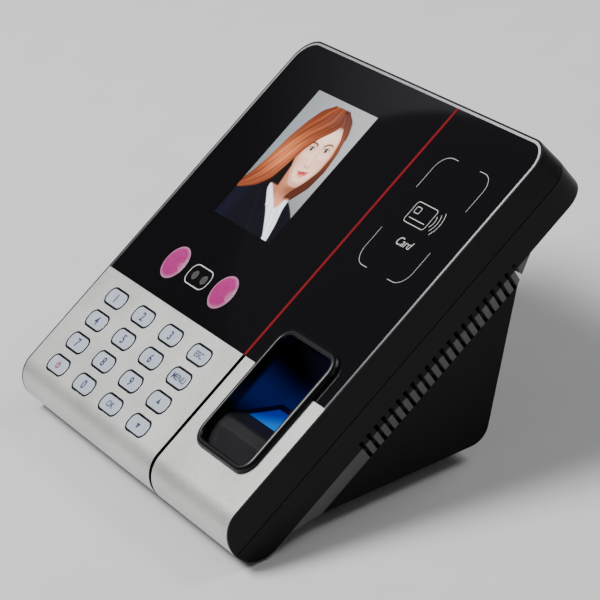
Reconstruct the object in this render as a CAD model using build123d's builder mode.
from build123d import *
import os
from math import cos, radians, sin, tan

# Desk terminal with a keypad, a face camera, a card reader and a fingerprint well.
# A flat head leans back on a wedge-shaped housing. All sizes are in millimetres.
# The frame has +X to the user's right, +Y away from the user and +Z up, with the desk at Z = 0.

# ---------------------------------------------------------------- driving dimensions
# The head, measured along and square to its face.
head_width = 168.4
head_height = 165.4
head_depth = 20.3
corner_radius = 10.0
side_draft = 2.5
wall = 2.2
lip = 0.7
skin = 1.8
deck = 2.0
parting_gap = 0.3
parting_bite = 0.6

# The wedge behind the head. Both angles are taken from the plane of the face.
tilt = 30.5
rear_angle = 36.9
band_depth = 7.4
band_inset = 4.5
wedge_reach = 83.4
wedge_depth = 59.8
wedge_draft = 4.0
wedge_corner_radius = 8.0
rib_depth = 7.0
rib_width = 2.0
foot_height = 5.4
foot_radius = 6.0
foot_recess = 0.6
foot_inset = 14.0
foot_x = 61.0

# Vent slots in the sloping band on each side.
vent_count = 22
vent_pitch = 3.59
vent_width = 1.5
vent_first = 53.4
vent_lead = 2.2

# The face, from the middle of the head and from its lower end.
seam = 53.5
groove_x = 25.8
groove_width = 2.0
trim_width = 0.9
strip_width = 1.3
strip_depth = 1.0
strip_stand = 0.1

screen_x = -31.1
screen_v = 119.3
screen_width = 43.2
screen_height = 57.6
panel_border = 3.4
panel_tail = 5.0
panel_depth = 1.8
frame_border = 4.0
frame_depth = 1.0

infrared_x = (-49.05, -11.15)
eye_row = 67.5
infrared_radius = 6.9
infrared_dome = 1.1
infrared_flange = 1.3
infrared_wall = 1.2
lamp_circle = 3.2
lamp_radius = 1.3
lamp_sink = 2.4
camera_x = -30.1
camera_width = 15.4
camera_height = 8.2
camera_round = 3.4
lens_sink = 0.3
lens_spacing = 6.8
lens_radius = 2.2
lens_length = 6.0

# Keys, in four rows and four columns.
key_column = 22.6
key_row = 10.45
key_first_x = -63.65
key_first_v = 45.0
key_width = 13.2
key_height = 6.2
key_radius = 2.6
key_gap = 0.7
key_stand = 0.1
key_round = 0.35
key_flange = 0.7
key_flange_depth = 1.0
key_travel = 0.8
key_names = (
    ("key_1", "key_2", "key_3", "key_esc"),
    ("key_4", "key_5", "key_6", "key_menu"),
    ("key_7", "key_8", "key_9", "key_up"),
    ("key_power", "key_0", "key_ok", "key_down"),
)
dome_height = 0.75
dome_width = 8.0
dome_length = 4.0
dome_round = 1.9
mat_depth = 0.8
mat_border = 2.6
board_depth = 1.6

# Fingerprint module.
well_x = 55.3
well_v = 45.2
rim_width = 38.7
rim_height = 49.9
rim_radius = 7.0
rim_stand = 2.0
rim_wall = 2.6
rim_round = 1.6
mouth_round = 0.7
tub_wall = 1.6
tub_inset = 1.0
tub_depth = 17.6
rest_drop = 1.1
ridge_v = 34.6
ridge_radius = 3.2
slope = 45.0
glass_x = 54.5
glass_rise = 4.4
glass_width = 24.0
glass_length = 11.4
glass_sink = 0.25
glass_depth = 2.6

# Card antenna, main board and other pieces inside.
card_x = 54.6
card_v = 118.0
card_width = 46.0
card_height = 56.0
main_x = -24.0
main_v = 105.0
main_width = 104.0
main_height = 80.0
main_w = -12.0
speaker_x = 52.0
speaker_v = 92.0
speaker_radius = 12.0
speaker_depth = 5.5
battery_size = (62.0, 34.0, 8.0)
# Chips and plugs on the main board: place from its middle, width, height and how tall they are.
main_chips = (
    (-10, 8, 18, 18, 1.6),
    (-34, 10, 14, 10, 1.2),
    (26, -12, 12, 12, 1.4),
    (30, 22, 20, 8, 2.4),
    (-30, -24, 24, 9, 2.4),
)

# Port plate in the rear of the wedge.
port_width = 84.0
port_height = 21.0
port_flange = 3.0
lan_x = 24.0
usb_x = 0.0
jack_x = -24.0
lan_size = (16.0, 13.5, 15.0)
lan_mouth = (12.0, 8.6, 11.0)
usb_size = (13.2, 6.0, 14.0)
jack_size = (9.0, 11.0, 14.0)
jack_bore = 2.9

# Clearances and fasteners.
gap = 0.1
slip = 0.2
run_on = 20.0
screw_radius = 1.5
screw_head = 2.8
screw_head_depth = 1.8
pilot_radius = 1.55
boss_radius = 3.2
os.makedirs("parts", exist_ok=True)

# ---------------------------------------------------------------- derived places
nose = head_depth / 2
parting = -nose
draft_inset = nose * tan(radians(side_draft))
head_top = head_height - draft_inset
half_lip = head_width / 2 - draft_inset - lip
deck_front = -skin
deck_back = -skin - deck
plate_back = -head_depth - band_depth
plate_front = plate_back + wall
base_slope = tan(radians(tilt))
rear_slope = tan(radians(rear_angle))
base_drop = wedge_reach * sin(radians(tilt)) - wedge_depth * cos(radians(tilt))
front_reach = nose * (cos(radians(tilt)) + sin(radians(tilt))) - nose
back_v = head_top
back_reach = back_v * cos(radians(tilt)) + head_depth * sin(radians(tilt))
face_y = -(front_reach + back_reach) / 2
face_z = foot_height - base_drop
up = (0, cos(radians(tilt)), sin(radians(tilt)))
out = (0, -sin(radians(tilt)), cos(radians(tilt)))
FACE = Plane(origin=(0, face_y, face_z), x_dir=(1, 0, 0), z_dir=out)
SIDE = Plane(origin=(0, face_y, face_z), x_dir=up, z_dir=(1, 0, 0))


def base_v(w):
    """How far up the face the wedge's underside meets the depth w."""
    return wedge_reach - (w + wedge_depth) / base_slope


def rear_v(w):
    """How far up the face the wedge's rear meets the depth w."""
    return wedge_reach + (w + wedge_depth) / rear_slope


# Plane of the wedge's rear face, with its x to the right for someone who looks at it from behind.
rear_mid = (rear_v(plate_back) + wedge_reach) / 2
rear_mid_w = (plate_back - wedge_depth) / 2
normal_up = sin(radians(rear_angle))
normal_out = -cos(radians(rear_angle))
rear_origin = tuple(FACE.from_local_coords(Vector(0, rear_mid, rear_mid_w)))
rear_dir = tuple(normal_up * a + normal_out * b for a, b in zip(up, out))
REAR = Plane(origin=rear_origin, x_dir=(-1, 0, 0), z_dir=rear_dir)


# ---------------------------------------------------------------- shared shapes
def slab(plane, depth, x, y, width, height, radius=0.0, mode=Mode.ADD):
    """A plate whose front lies on the plane and which goes back by its depth."""
    with BuildSketch(plane) as outline:
        with Locations((x, y)):
            if radius:
                RectangleRounded(width, height, radius)
            else:
                Rectangle(width, height)
    extrude(outline.sketch, amount=-depth, mode=mode)


def rods(plane, depth, points, radius, mode=Mode.ADD):
    """Round posts or holes whose fronts lie on the plane."""
    with BuildSketch(plane) as outline:
        with Locations(*points):
            Circle(radius)
    extrude(outline.sketch, amount=-depth, mode=mode)


def across(points, x0, x1, mode=Mode.ADD):
    """A side profile of (up the face, out of the face) points, carried from x0 to x1."""
    with BuildSketch(SIDE.offset(x0)) as outline:
        with BuildLine():
            Polyline(*points, close=True)
        make_face()
    extrude(outline.sketch, amount=x1 - x0, mode=mode)


def nose_profile(depth, top, x0, x1, mode=Mode.ADD):
    """The front half of the head from its parting plane, sunk below the skin by a depth."""
    inner = nose - depth
    with BuildSketch(SIDE.offset(x0)) as outline:
        with BuildLine():
            Line((top, parting), (top, -depth))
            Line((top, -depth), (nose, -depth))
            CenterArc((nose, -nose), inner, 90, 90)
            Line((depth, parting), (top, parting))
        make_face()
    extrude(outline.sketch, amount=x1 - x0, mode=mode)


def back_profile(depth, top, x0, x1, mode=Mode.ADD):
    """The rear half of the head from its parting plane, sunk below the skin by a depth."""
    inner = nose - depth
    back = -head_depth + depth
    with BuildSketch(SIDE.offset(x0)) as outline:
        with BuildLine():
            Line((top, parting), (top, back))
            Line((top, back), (nose, back))
            CenterArc((nose, -nose), inner, 180, 90)
            Line((depth, parting), (top, parting))
        make_face()
    extrude(outline.sketch, amount=x1 - x0, mode=mode)


def head_outline(plane, inset):
    """The head's outline with round top corners, set in all round and running on past its lower end."""
    half = head_width / 2 - inset
    high = head_height - inset
    r = corner_radius - inset
    with BuildSketch(plane) as outline:
        with BuildLine():
            Line((-half, -run_on), (-half, high - r))
            RadiusArc((-half, high - r), (-half + r, high), r)
            Line((-half + r, high), (half - r, high))
            RadiusArc((half - r, high), (half, high - r), r)
            Line((half, high - r), (half, -run_on))
            Line((half, -run_on), (-half, -run_on))
        make_face()
    return outline.sketch


def head_envelope(direction):
    """The drafted sides of one half of the head, running past both of its planes by 1 mm."""
    grow = tan(radians(side_draft))
    near = head_outline(FACE.offset(parting - direction), -grow)
    far = head_outline(FACE.offset(parting + direction * (nose + 1)), grow * (nose + 1))
    loft([near, far])


def lens_outline(inset):
    """The lens area: the head's outline above the seam, set in from the lip."""
    half = half_lip - inset
    high = head_top - lip - inset
    r = corner_radius - lip - inset
    with BuildSketch(FACE) as outline:
        with BuildLine():
            Line((-half, seam), (-half, high - r))
            RadiusArc((-half, high - r), (-half + r, high), r)
            Line((-half + r, high), (half - r, high))
            RadiusArc((half - r, high), (half, high - r), r)
            Line((half, high - r), (half, seam))
            Line((half, seam), (-half, seam))
        make_face()
    return outline.sketch


def finish(builder, name):
    """Labels a finished piece and writes it to its own file."""
    builder.part.label = name
    export_step(builder.part, f"parts/{name}.step")


# ---------------------------------------------------------------- openings shared by several pieces
key_places = [
    (key_first_x + key_column * c, key_first_v - key_row * r, key_names[r][c])
    for r in range(4)
    for c in range(4)
]
key_points = [(x, v) for x, v, _ in key_places]
pad_x = key_first_x + 1.5 * key_column
pad_v = key_first_v - 1.5 * key_row
pad_width = 3 * key_column + key_width + 2 * key_flange + 2 * mat_border
pad_height = 3 * key_row + key_height + 2 * key_flange + 1.6
board_w = -(skin + gap + key_flange_depth + key_travel + gap + dome_height + mat_depth)
infrared_points = [(x, eye_row) for x in infrared_x]
lens_points = [(camera_x + s * lens_spacing / 2, eye_row) for s in (-1, 1)]
panel_width = screen_width + 2 * panel_border
panel_height = screen_height + 2 * panel_border + panel_tail
panel_v = screen_v - panel_tail / 2
tub_width = rim_width - 2 * tub_inset
tub_height = rim_height - 2 * tub_inset
main_half = main_width / 2 - 4.0
main_half_v = main_height / 2 - 4.0
main_points = [(main_x + a * main_half, main_v + b * main_half_v) for a in (-1, 1) for b in (-1, 1)]
keypad_board_width = pad_width + 12.0
keypad_board_height = pad_height + 3.0
pad_half = pad_width / 2 + 3.4
pad_screw_v = (pad_v - 10.0, pad_v + 12.0)
pad_points = [(pad_x + a * pad_half, v) for a in (-1, 1) for v in pad_screw_v]
shell_x = head_width / 2 - 13.0
shell_top_v = head_height - 15.0
head_sink = -head_depth + screw_head_depth + slip
shell_low_v = 58.0
shell_low_x = (-71.0, 31.5)
low_bosses = [(x, shell_low_v) for x in shell_low_x]
top_bosses = [(a * shell_x, shell_top_v) for a in (-1, 1)]
frame_boss = low_bosses + top_bosses
vent_w = (plate_back - head_depth + vent_lead) / 2
vent_points = [(vent_first + vent_pitch * i, vent_w) for i in range(vent_count)]
wedge_x = head_width / 2 - 14.0
wedge_points = [(a * wedge_x, v) for a in (-1, 1) for v in (74.0, 110.0)]

# ---------------------------------------------------------------- cutting bodies for the two shells
with BuildPart() as nose_block:
    nose_profile(0, head_height + 1, -head_width, head_width)

with BuildPart() as cover_seat:
    nose_profile(-1.0, seam, -half_lip, half_lip)
    nose_profile(skin, seam + 1, -head_width, head_width, Mode.SUBTRACT)

with BuildPart() as inner_nose:
    nose_profile(skin + deck, head_height, -head_width, head_width)

with BuildPart() as front_cavity:
    extrude(head_outline(FACE.offset(parting - 1), wall + lip), amount=nose + 1)
    add(inner_nose.part, mode=Mode.INTERSECT)

with BuildPart() as back_block:
    back_profile(0, head_height + 1, -head_width, head_width)

with BuildPart() as inner_back:
    back_profile(wall, head_height, -head_width, head_width)

with BuildPart() as rear_cavity:
    extrude(head_outline(FACE.offset(parting + 1), wall + lip), amount=-nose - 1)
    add(inner_back.part, mode=Mode.INTERSECT)

with BuildPart() as parting_groove:
    extrude(head_outline(FACE.offset(parting), -1.0), amount=-parting_gap)
    extrude(head_outline(FACE.offset(parting), parting_bite), amount=-parting_gap, mode=Mode.SUBTRACT)
    across(
        (
            (-1.0, parting), (parting_bite, parting), (parting_bite, parting - parting_gap),
            (-1.0, parting - parting_gap),
        ),
        -head_width / 2, head_width / 2,
    )

# ---------------------------------------------------------------- front frame
with BuildPart() as front_frame:
    head_envelope(1)
    add(nose_block.part, mode=Mode.INTERSECT)
    # The skin's seat: lens and trim above the seam, metal covers below it and round the nose.
    extrude(lens_outline(0), amount=-skin, mode=Mode.SUBTRACT)
    add(cover_seat.part, mode=Mode.SUBTRACT)
    # The cavity behind the deck.
    add(front_cavity.part, mode=Mode.SUBTRACT)
    # Windows in the deck.
    deck_plane = FACE.offset(deck_front)
    slab(
        deck_plane, deck, screen_x, panel_v, panel_width + 2 * slip, panel_height + 2 * slip, 0,
        Mode.SUBTRACT,
    )
    slab(deck_plane, deck, pad_x, pad_v, pad_width, pad_height, 1.5, Mode.SUBTRACT)
    slab(
        FACE.offset(1), deck - deck_front + 1, well_x, well_v,
        tub_width + 2 * slip, tub_height + 2 * slip, rim_radius - tub_inset + slip, Mode.SUBTRACT,
    )
    rods(deck_plane, deck, infrared_points, infrared_radius + gap, Mode.SUBTRACT)
    rods(deck_plane, deck, lens_points, lens_radius + slip, Mode.SUBTRACT)
    # Bosses for the boards and for the rear shell.
    back_plane = FACE.offset(deck_back)
    rods(back_plane, deck_back - main_w, main_points, boss_radius)
    rods(back_plane, deck_back - board_w, pad_points, boss_radius - 0.7)
    rods(back_plane, deck_back - parting, frame_boss, boss_radius + 0.6)
    rods(FACE.offset(deck_back), nose, main_points, pilot_radius, Mode.SUBTRACT)
    rods(FACE.offset(deck_back), nose, pad_points, pilot_radius - 0.5, Mode.SUBTRACT)
    rods(FACE.offset(deck_back), nose, frame_boss, pilot_radius, Mode.SUBTRACT)
finish(front_frame, "front_frame")

# ---------------------------------------------------------------- rear shell
with BuildPart() as rear_shell:
    head_envelope(-1)
    add(back_block.part, mode=Mode.INTERSECT)
    # The raised back, with its sloping bands at both sides.
    half_top = head_width / 2 - draft_inset
    half_low = head_width / 2 - band_inset
    for inset, mode in ((0.0, Mode.ADD), (wall, Mode.SUBTRACT)):
        start_w = -head_depth if mode == Mode.ADD else -head_depth + wall
        end_w = plate_back + inset
        v0, v1 = base_v(start_w) + 2 * inset, rear_v(start_w) - 2 * inset
        v2, v3 = base_v(end_w) + 2 * inset, rear_v(end_w) - 2 * inset
        with BuildSketch(FACE.offset(start_w)) as wide:
            with Locations((0, (v0 + v1) / 2)):
                Rectangle(2 * (half_top - inset), v1 - v0)
        with BuildSketch(FACE.offset(end_w)) as narrow:
            with Locations((0, (v2 + v3) / 2)):
                Rectangle(2 * (half_low - inset), v3 - v2)
        loft([wide.sketch, narrow.sketch], mode=mode)
    # The head's own cavity, open towards the front frame.
    add(rear_cavity.part, mode=Mode.SUBTRACT)
    # The fine groove where it meets the front frame.
    add(parting_groove.part, mode=Mode.SUBTRACT)
    # Cable window into the wedge, and the bosses for the screws.
    slab(FACE.offset(plate_front), wall, -20, 84, 76, 34, 4, Mode.SUBTRACT)
    rods(FACE.offset(parting), nose - wall / 2, top_bosses, boss_radius + 0.6)
    rods(FACE.offset(parting), parting - plate_front + wall / 2, low_bosses, boss_radius + 0.6)
    rods(FACE.offset(parting + 1), 40, frame_boss, screw_radius + gap, Mode.SUBTRACT)
    rods(FACE.offset(parting + 1), 40, wedge_points, screw_radius + gap, Mode.SUBTRACT)
    rods(FACE.offset(head_sink), nose, top_bosses, screw_head + slip, Mode.SUBTRACT)
    # Vent slots through both bands.
    with BuildSketch(SIDE) as slots:
        with Locations(*vent_points):
            Rectangle(vent_width, band_depth + vent_lead)
    for start, reach in ((half_low - 3, 12), (-half_low - 9, 12)):
        extrude(slots.sketch.moved(Location((start, 0, 0))), amount=reach, mode=Mode.SUBTRACT)
finish(rear_shell, "rear_shell")

# ---------------------------------------------------------------- wedge housing
sole = foot_height
wedge_mouth = head_width / 2 - band_inset
wedge_foot = wedge_mouth - (wedge_depth + plate_back) * tan(radians(wedge_draft))


def wedge_body(inset):
    """The wedge as a drafted prism, set in all round by a wall."""
    base_shift = inset / sin(radians(tilt))
    rear_shift = inset / sin(radians(rear_angle))
    low = (base_v(plate_back) + base_shift, plate_back)
    high = (rear_v(plate_back) - rear_shift, plate_back)
    deep = (base_shift + rear_shift) / (1 / base_slope + 1 / rear_slope)
    corner_w = -wedge_depth + deep
    corner = (base_v(corner_w) + base_shift, corner_w)
    mouth = wedge_mouth - inset
    foot = wedge_foot - inset
    with BuildPart() as body:
        across((low, corner, high), -head_width / 2, head_width / 2)
        rim = body.edges().filter_by(Axis.X).sort_by(Axis.Z)[:2].sort_by(Axis.Y)[-1]
        fillet(rim, wedge_corner_radius - inset)
        with BuildSketch(Plane(origin=FACE.origin, x_dir=(1, 0, 0), z_dir=up)) as ends:
            with BuildLine():
                Polyline(
                    (-mouth, -plate_back), (mouth, -plate_back), (foot, -corner_w), (-foot, -corner_w),
                    close=True,
                )
            make_face()
        extrude(ends.sketch, amount=head_height + run_on, mode=Mode.INTERSECT)
    return body.part


base_front = tuple(FACE.from_local_coords(Vector(0, base_v(plate_back), plate_back)))[1]
base_rear = tuple(FACE.from_local_coords(Vector(0, wedge_reach, -wedge_depth)))[1]
foot_rows = (base_front + foot_inset + 2, base_rear - foot_inset)
foot_points = [(a * foot_x, y) for a in (-1, 1) for y in foot_rows]
rib_end = wedge_mouth - wall / 2
rib_x = (wedge_x + rib_end) / 2
wedge_solid = wedge_body(0)
wedge_hollow = wedge_body(wall)

with BuildPart() as wedge_housing:
    add(wedge_solid)
    add(wedge_hollow, mode=Mode.SUBTRACT)
    rods(FACE.offset(plate_back), rib_depth, wedge_points, boss_radius)
    for x, v in wedge_points:
        slab(FACE.offset(plate_back), rib_depth, rib_x if x > 0 else -rib_x, v, rib_end - wedge_x, rib_width)
    rods(FACE.offset(plate_back), rib_depth - 1, wedge_points, pilot_radius, Mode.SUBTRACT)
    slab(REAR.offset(1), wall + 2, 0, 0, port_width + 2 * gap, port_height + 2 * gap, 1.5, Mode.SUBTRACT)
    rods(Plane.XY.offset(sole + foot_recess), 1 + foot_recess, foot_points, foot_radius + gap, Mode.SUBTRACT)
    rods(Plane.XY.offset(sole + wall + 1), wall + 2, foot_points, pilot_radius, Mode.SUBTRACT)
finish(wedge_housing, "wedge_housing")

# ---------------------------------------------------------------- feet
with BuildPart() as rubber_feet:
    rods(Plane.XY.offset(sole + foot_recess), sole + foot_recess, foot_points, foot_radius)
    low_rims = rubber_feet.edges().group_by(Axis.Z)[0]
    fillet(low_rims, 0.8)
    rods(Plane.XY.offset(sole - 1.5), sole, foot_points, screw_head + slip, Mode.SUBTRACT)
    rods(Plane.XY.offset(sole + 2), sole, foot_points, screw_radius + gap, Mode.SUBTRACT)
finish(rubber_feet, "rubber_feet")

with BuildPart() as foot_screws:
    rods(Plane.XY.offset(sole - 1.5), screw_head_depth, foot_points, screw_head)
    rods(Plane.XY.offset(sole + wall + 2.5), wall + 4, foot_points, screw_radius)
finish(foot_screws, "foot_screws")

# ---------------------------------------------------------------- skin of the face
with BuildPart() as trim_ring:
    extrude(lens_outline(0), amount=-skin)
    extrude(lens_outline(trim_width), amount=-skin, mode=Mode.SUBTRACT)
    slab(FACE, skin, 0, seam, 2 * (half_lip - trim_width), 6, 0, Mode.SUBTRACT)
finish(trim_ring, "trim_ring")


def well_opening(depth):
    """The module's opening through one piece of the skin."""
    slab(
        FACE, depth, well_x, well_v, tub_width + 2 * gap, tub_height + 2 * gap,
        rim_radius - tub_inset + gap, Mode.SUBTRACT,
    )


with BuildPart() as face_lens:
    extrude(lens_outline(trim_width + gap / 2), amount=-skin)
    slab(FACE, skin, 0, seam, head_width, 2 * gap, 0, Mode.SUBTRACT)
    slab(
        FACE, strip_depth, groove_x, seam + head_height / 2, strip_width + gap, head_height, 0,
        Mode.SUBTRACT,
    )
    well_opening(skin)
    rods(FACE, skin, infrared_points, infrared_radius + gap, Mode.SUBTRACT)
    slab(
        FACE, skin, camera_x, eye_row, camera_width + gap, camera_height + gap, camera_round,
        Mode.SUBTRACT,
    )
finish(face_lens, "face_lens")

strip_top = head_top - lip - trim_width - gap
strip_low = seam + gap
with BuildPart() as accent_strip:
    slab(
        FACE.offset(strip_stand), strip_depth + strip_stand, groove_x, (strip_low + strip_top) / 2,
        strip_width, strip_top - strip_low,
    )
finish(accent_strip, "accent_strip")

with BuildPart() as camera_window:
    slab(FACE, skin, camera_x, eye_row, camera_width, camera_height, camera_round)
    rods(FACE, skin, lens_points, lens_radius + gap, Mode.SUBTRACT)
finish(camera_window, "camera_window")


def cover(x0, x1):
    """A thin metal cover from the seam, down the face and round the nose."""
    nose_profile(0, seam - gap / 2, x0, x1)
    nose_profile(skin, seam + 1, x0 - 1, x1 + 1, Mode.SUBTRACT)


cover_edge = half_lip - gap
with BuildPart() as keypad_cover:
    cover(-cover_edge, groove_x - groove_width / 2)
    for x, v in key_points:
        slab(
            FACE, skin, x, v, key_width + 2 * key_gap, key_height + 2 * key_gap, key_radius + key_gap,
            Mode.SUBTRACT,
        )
finish(keypad_cover, "keypad_cover")

with BuildPart() as sensor_cover:
    cover(groove_x + groove_width / 2, cover_edge)
    well_opening(skin)
finish(sensor_cover, "sensor_cover")

# ---------------------------------------------------------------- keys, mat and keypad board
flange_top = -skin - gap
for x, v, name in key_places:
    with BuildPart() as key:
        slab(FACE.offset(key_stand), key_stand - flange_top, x, v, key_width, key_height, key_radius)
        crown = key.faces().sort_by(Axis((0, 0, 0), out))[-1].edges()
        fillet(crown, key_round)
        slab(
            FACE.offset(flange_top), key_flange_depth, x, v, key_width + 2 * (key_gap + key_flange),
            key_height + 2 * (key_gap + key_flange), key_radius + key_gap + key_flange,
        )
    finish(key, name)

mat_top = board_w + mat_depth
with BuildPart() as keypad_mat:
    slab(FACE.offset(mat_top), mat_depth, pad_x, pad_v, pad_width - 2 * slip, pad_height - 2 * slip, 1.3)
    for x, v in key_points:
        slab(FACE.offset(mat_top + dome_height), dome_height, x, v, dome_width, dome_length, dome_round)
finish(keypad_mat, "keypad_mat")

with BuildPart() as keypad_board:
    slab(FACE.offset(board_w), board_depth, pad_x, pad_v + 1.5, keypad_board_width, keypad_board_height, 1.0)
    slab(FACE.offset(board_w - board_depth), 3.0, pad_x + 24, pad_v, 14, 5)
    rods(FACE.offset(board_w), board_depth, pad_points, pilot_radius, Mode.SUBTRACT)
finish(keypad_board, "keypad_board")

# ---------------------------------------------------------------- screen
with BuildPart() as lcd_panel:
    slab(FACE.offset(deck_front - slip), panel_depth, screen_x, panel_v, panel_width, panel_height, 0.6)
finish(lcd_panel, "lcd_panel")

with BuildPart() as lcd_frame:
    slab(FACE.offset(deck_back), frame_depth, screen_x, panel_v, panel_width + 2 * frame_border,
         panel_height + 2 * frame_border, 2.0)
    slab(FACE.offset(deck_back), frame_depth, screen_x, panel_v, panel_width - 12, panel_height - 12,
         3.0, Mode.SUBTRACT)
finish(lcd_frame, "lcd_frame")

# ---------------------------------------------------------------- infrared lamps and cameras
lamp_ring = [(lamp_circle * cos(radians(60 * i)), lamp_circle * sin(radians(60 * i))) for i in range(6)]
flange_back = deck_back - infrared_flange
dome_radius = (infrared_radius**2 + infrared_dome**2) / (2 * infrared_dome)
for side, x in zip(("left", "right"), infrared_x):
    with BuildPart() as window:
        rods(FACE, -deck_back, [(x, eye_row)], infrared_radius)
        rods(FACE.offset(deck_back), infrared_flange, [(x, eye_row)], infrared_radius + 1.3)
        # The dome, turned about the window's own middle line.
        middle = FACE.from_local_coords(Vector(x, eye_row, 0))
        with BuildSketch(Plane(origin=middle, x_dir=(1, 0, 0), z_dir=up)) as half_dome:
            with BuildLine():
                Line((0, 0), (0, -infrared_dome))
                RadiusArc((0, -infrared_dome), (infrared_radius, 0), -dome_radius)
                Line((infrared_radius, 0), (0, 0))
            make_face()
        revolve(half_dome.sketch, axis=Axis(middle, out))
        rods(FACE.offset(-infrared_wall), 10, [(x, eye_row)], infrared_radius - infrared_wall, Mode.SUBTRACT)
    finish(window, f"ir_window_{side}")
    with BuildPart() as lamp_board:
        rods(FACE.offset(flange_back), 1.2, [(x, eye_row)], infrared_radius + 1.0)
        lamps = [(x + a, eye_row + b) for a, b in lamp_ring]
        rods(FACE.offset(-lamp_sink), -lamp_sink - flange_back + 0.2, lamps, lamp_radius)
    finish(lamp_board, f"ir_lamp_board_{side}")

for side, (x, v) in zip(("left", "right"), lens_points):
    with BuildPart() as camera_lens:
        rods(FACE.offset(-lens_sink), lens_length, [(x, v)], lens_radius)
        rim = camera_lens.edges().filter_by(GeomType.CIRCLE).sort_by(Axis((0, 0, 0), out))[-1]
        chamfer(rim, 0.4)
    finish(camera_lens, f"camera_lens_{side}")

with BuildPart() as camera_board:
    slab(FACE.offset(-lens_sink - lens_length), 1.2, camera_x, eye_row, camera_width + 2, 13, 1.0)
    slab(FACE.offset(-lens_sink - 1.2 - lens_length), 1.6, camera_x, eye_row, 8, 4)
finish(camera_board, "camera_board")

# ---------------------------------------------------------------- card reader antenna
with BuildPart() as card_antenna:
    slab(FACE.offset(deck_back), 0.8, card_x, card_v, card_width, card_height, 2.0)
    slab(FACE.offset(deck_back), 0.8, card_x, card_v, card_width - 16, card_height - 16, 2.0, Mode.SUBTRACT)
    slab(FACE.offset(deck_back), 0.8, card_x, card_v - card_height / 2 + 10, card_width - 10, 8)
    slab(FACE.offset(deck_back - 0.8), 1.2, card_x, card_v - card_height / 2 + 10, 7, 5)
finish(card_antenna, "card_antenna")

# ---------------------------------------------------------------- fingerprint module
opening_width = rim_width - 2 * rim_wall
opening_height = rim_height - 2 * rim_wall
opening_low = well_v - opening_height / 2
opening_high = well_v + opening_height / 2
tub_floor = -tub_depth + tub_wall
floor_high = opening_high - 8.0
with BuildPart() as sensor_bezel:
    slab(FACE.offset(rim_stand), rim_stand, well_x, well_v, rim_width, rim_height, rim_radius)
    shoulder = sensor_bezel.faces().sort_by(Axis((0, 0, 0), out))[-1].edges()
    fillet(shoulder, rim_round)
    slab(FACE, tub_depth, well_x, well_v, tub_width, tub_height, rim_radius - tub_inset)
    with BuildSketch(FACE.offset(rim_stand + 1)) as mouth:
        with Locations((well_x, well_v)):
            RectangleRounded(opening_width, opening_height, rim_radius - rim_wall)
    extrude(mouth.sketch, amount=-(rim_stand + 1 + 3.0), mode=Mode.SUBTRACT)
    half_opening = opening_width / 2
    across(
        (
            (opening_low, -2.9), (opening_low, tub_floor), (floor_high, tub_floor), (opening_high, -3.5),
            (opening_high, -2.9),
        ),
        well_x - half_opening, well_x + half_opening, Mode.SUBTRACT,
    )
    mouth_edges = sensor_bezel.faces().sort_by(Axis((0, 0, 0), out))[-1].inner_wires()[0].edges()
    fillet(mouth_edges, mouth_round)
finish(sensor_bezel, "sensor_bezel")

rest_low = opening_low + slip
slope_rise = tan(radians(slope))
rest_top = -rest_drop
slope_foot = ridge_v + (rest_top - tub_floor - slip) / slope_rise
rest_half = opening_width / 2 - slip
glass_v = ridge_v + glass_rise
glass_w = rest_top - (glass_v - ridge_v) * slope_rise - glass_sink
SLOPE = Plane(
    origin=FACE.from_local_coords(Vector(glass_x, glass_v, glass_w)),
    x_dir=(1, 0, 0),
    z_dir=tuple(sin(radians(slope)) * a + cos(radians(slope)) * b for a, b in zip(up, out)),
)
with BuildPart() as finger_rest:
    across(
        (
            (rest_low, tub_floor + slip), (rest_low, rest_top - 0.4), (ridge_v - 4, rest_top + 0.5),
            (ridge_v, rest_top), (slope_foot, tub_floor + slip),
        ),
        well_x - rest_half, well_x + rest_half,
    )
    ridge = finger_rest.edges().filter_by(Axis.X).sort_by(Axis((0, 0, 0), out))[-2:]
    fillet(ridge, ridge_radius)
    low_corners = finger_rest.edges().filter_by(Axis((0, 0, 0), out)).sort_by(Axis((0, 0, 0), up))[:2]
    fillet(low_corners, rim_radius - rim_wall)
    slab(
        SLOPE.offset(2), glass_depth + 2 + gap, 0, glass_length / 2, glass_width + 2 * gap,
        glass_length + 2 * gap, 0.6, Mode.SUBTRACT,
    )
finish(finger_rest, "finger_rest")

with BuildPart() as sensor_glass:
    slab(SLOPE, glass_depth, 0, glass_length / 2, glass_width, glass_length, 0.5)
finish(sensor_glass, "sensor_glass")

with BuildPart() as sensor_board:
    slab(FACE.offset(-tub_depth - gap), board_depth, well_x, well_v, tub_width - 4, tub_height - 10, 1.0)
    slab(FACE.offset(-tub_depth - gap - board_depth), 1.4, well_x, well_v, 12, 12)
finish(sensor_board, "sensor_board")

# ---------------------------------------------------------------- main board, speaker and battery
with BuildPart() as main_board:
    slab(FACE.offset(main_w), board_depth, main_x, main_v, main_width, main_height, 1.5)
    for x, v, width, height, tall in main_chips:
        slab(FACE.offset(main_w - board_depth), tall, main_x + x, main_v + v, width, height, 0.4)
    rods(FACE.offset(main_w), board_depth, main_points, pilot_radius, Mode.SUBTRACT)
finish(main_board, "main_board")

speaker_middle = [(speaker_x, speaker_v)]
speaker_front = FACE.offset(plate_front + speaker_depth)
with BuildPart() as speaker:
    rods(speaker_front, speaker_depth, speaker_middle, speaker_radius)
    rods(speaker_front, 1.6, speaker_middle, speaker_radius - 1.4, Mode.SUBTRACT)
    rods(speaker_front.offset(-1.0), 0.8, speaker_middle, 4.0)
finish(speaker, "speaker")

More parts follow.
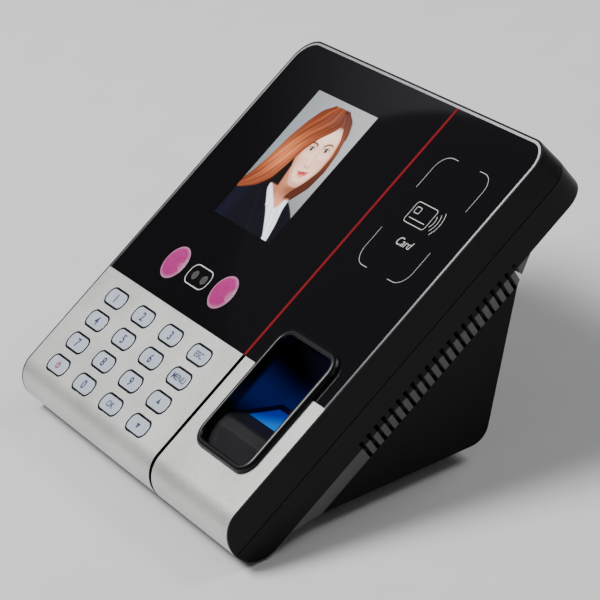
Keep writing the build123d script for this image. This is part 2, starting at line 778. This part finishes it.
battery_width, battery_length, battery_height = battery_size
battery_y = base_rear - battery_length / 2 - 8
battery_top = Plane.XY.offset(sole + wall + gap + battery_height)
with BuildPart() as backup_battery:
    slab(battery_top, battery_height, 0, battery_y, battery_width, battery_length, 3.0)
finish(backup_battery, "backup_battery")

# ---------------------------------------------------------------- ports
with BuildPart() as port_plate:
    slab(REAR, wall, 0, 0, port_width - 2 * gap, port_height - 2 * gap, 1.4)
    slab(REAR.offset(-wall), 1.5, 0, 0, port_width + 2 * port_flange, port_height + 2 * port_flange, 1.5)
    for x, size in ((lan_x, lan_size), (usb_x, usb_size), (jack_x, jack_size)):
        slab(REAR.offset(1), wall + 4, x, 0, size[0] + 2 * gap, size[1] + 2 * gap, 0, Mode.SUBTRACT)
finish(port_plate, "port_plate")

with BuildPart() as lan_socket:
    slab(REAR, lan_size[2], lan_x, 0, lan_size[0], lan_size[1])
    slab(REAR, lan_mouth[2], lan_x, -0.8, lan_mouth[0], lan_mouth[1], 0, Mode.SUBTRACT)
    slab(REAR, lan_mouth[2], lan_x, lan_mouth[1] / 2 + 0.2, 4.0, 2.2, 0, Mode.SUBTRACT)
finish(lan_socket, "lan_socket")

with BuildPart() as usb_socket:
    slab(REAR, usb_size[2], usb_x, 0, usb_size[0], usb_size[1])
    slab(REAR, usb_size[2] - 3, usb_x, 0, usb_size[0] - 0.8, usb_size[1] - 0.8, 0, Mode.SUBTRACT)
    slab(REAR.offset(-1), usb_size[2] - 2, usb_x, 1.2, 11.0, 1.6)
finish(usb_socket, "usb_socket")

with BuildPart() as dc_jack:
    slab(REAR, jack_size[2], jack_x, 0, jack_size[0], jack_size[1], 0.6)
    rods(REAR, jack_size[2] - 4, [(jack_x, 0)], jack_bore, Mode.SUBTRACT)
    rods(REAR.offset(-1), jack_size[2] - 3, [(jack_x, 0)], 1.0)
finish(dc_jack, "dc_jack")

# ---------------------------------------------------------------- screws
with BuildPart() as board_screws:
    rods(FACE.offset(main_w - board_depth), screw_head_depth, main_points, screw_head)
    rods(FACE.offset(main_w + 4), 4 + board_depth + 0.5, main_points, screw_radius)
finish(board_screws, "board_screws")

with BuildPart() as keypad_screws:
    rods(FACE.offset(board_w - board_depth), 1.2, pad_points, screw_head - 0.6)
    pad_reach = deck_back - 0.5 - board_w + board_depth + 0.4
    rods(FACE.offset(deck_back - 0.5), pad_reach, pad_points, screw_radius - 0.5)
finish(keypad_screws, "keypad_screws")

with BuildPart() as shell_screws:
    for points, back in ((top_bosses, head_sink), (low_bosses, plate_back)):
        rods(FACE.offset(back), screw_head_depth, points, screw_head)
        rods(FACE.offset(deck_back - 0.5), deck_back - 0.5 - back + 0.4, points, screw_radius)
finish(shell_screws, "shell_screws")

with BuildPart() as wedge_screws:
    rods(FACE.offset(plate_front + screw_head_depth), screw_head_depth, wedge_points, screw_head)
    rods(FACE.offset(plate_front + 0.4), wall + 4, wedge_points, screw_radius)
finish(wedge_screws, "wedge_screws")
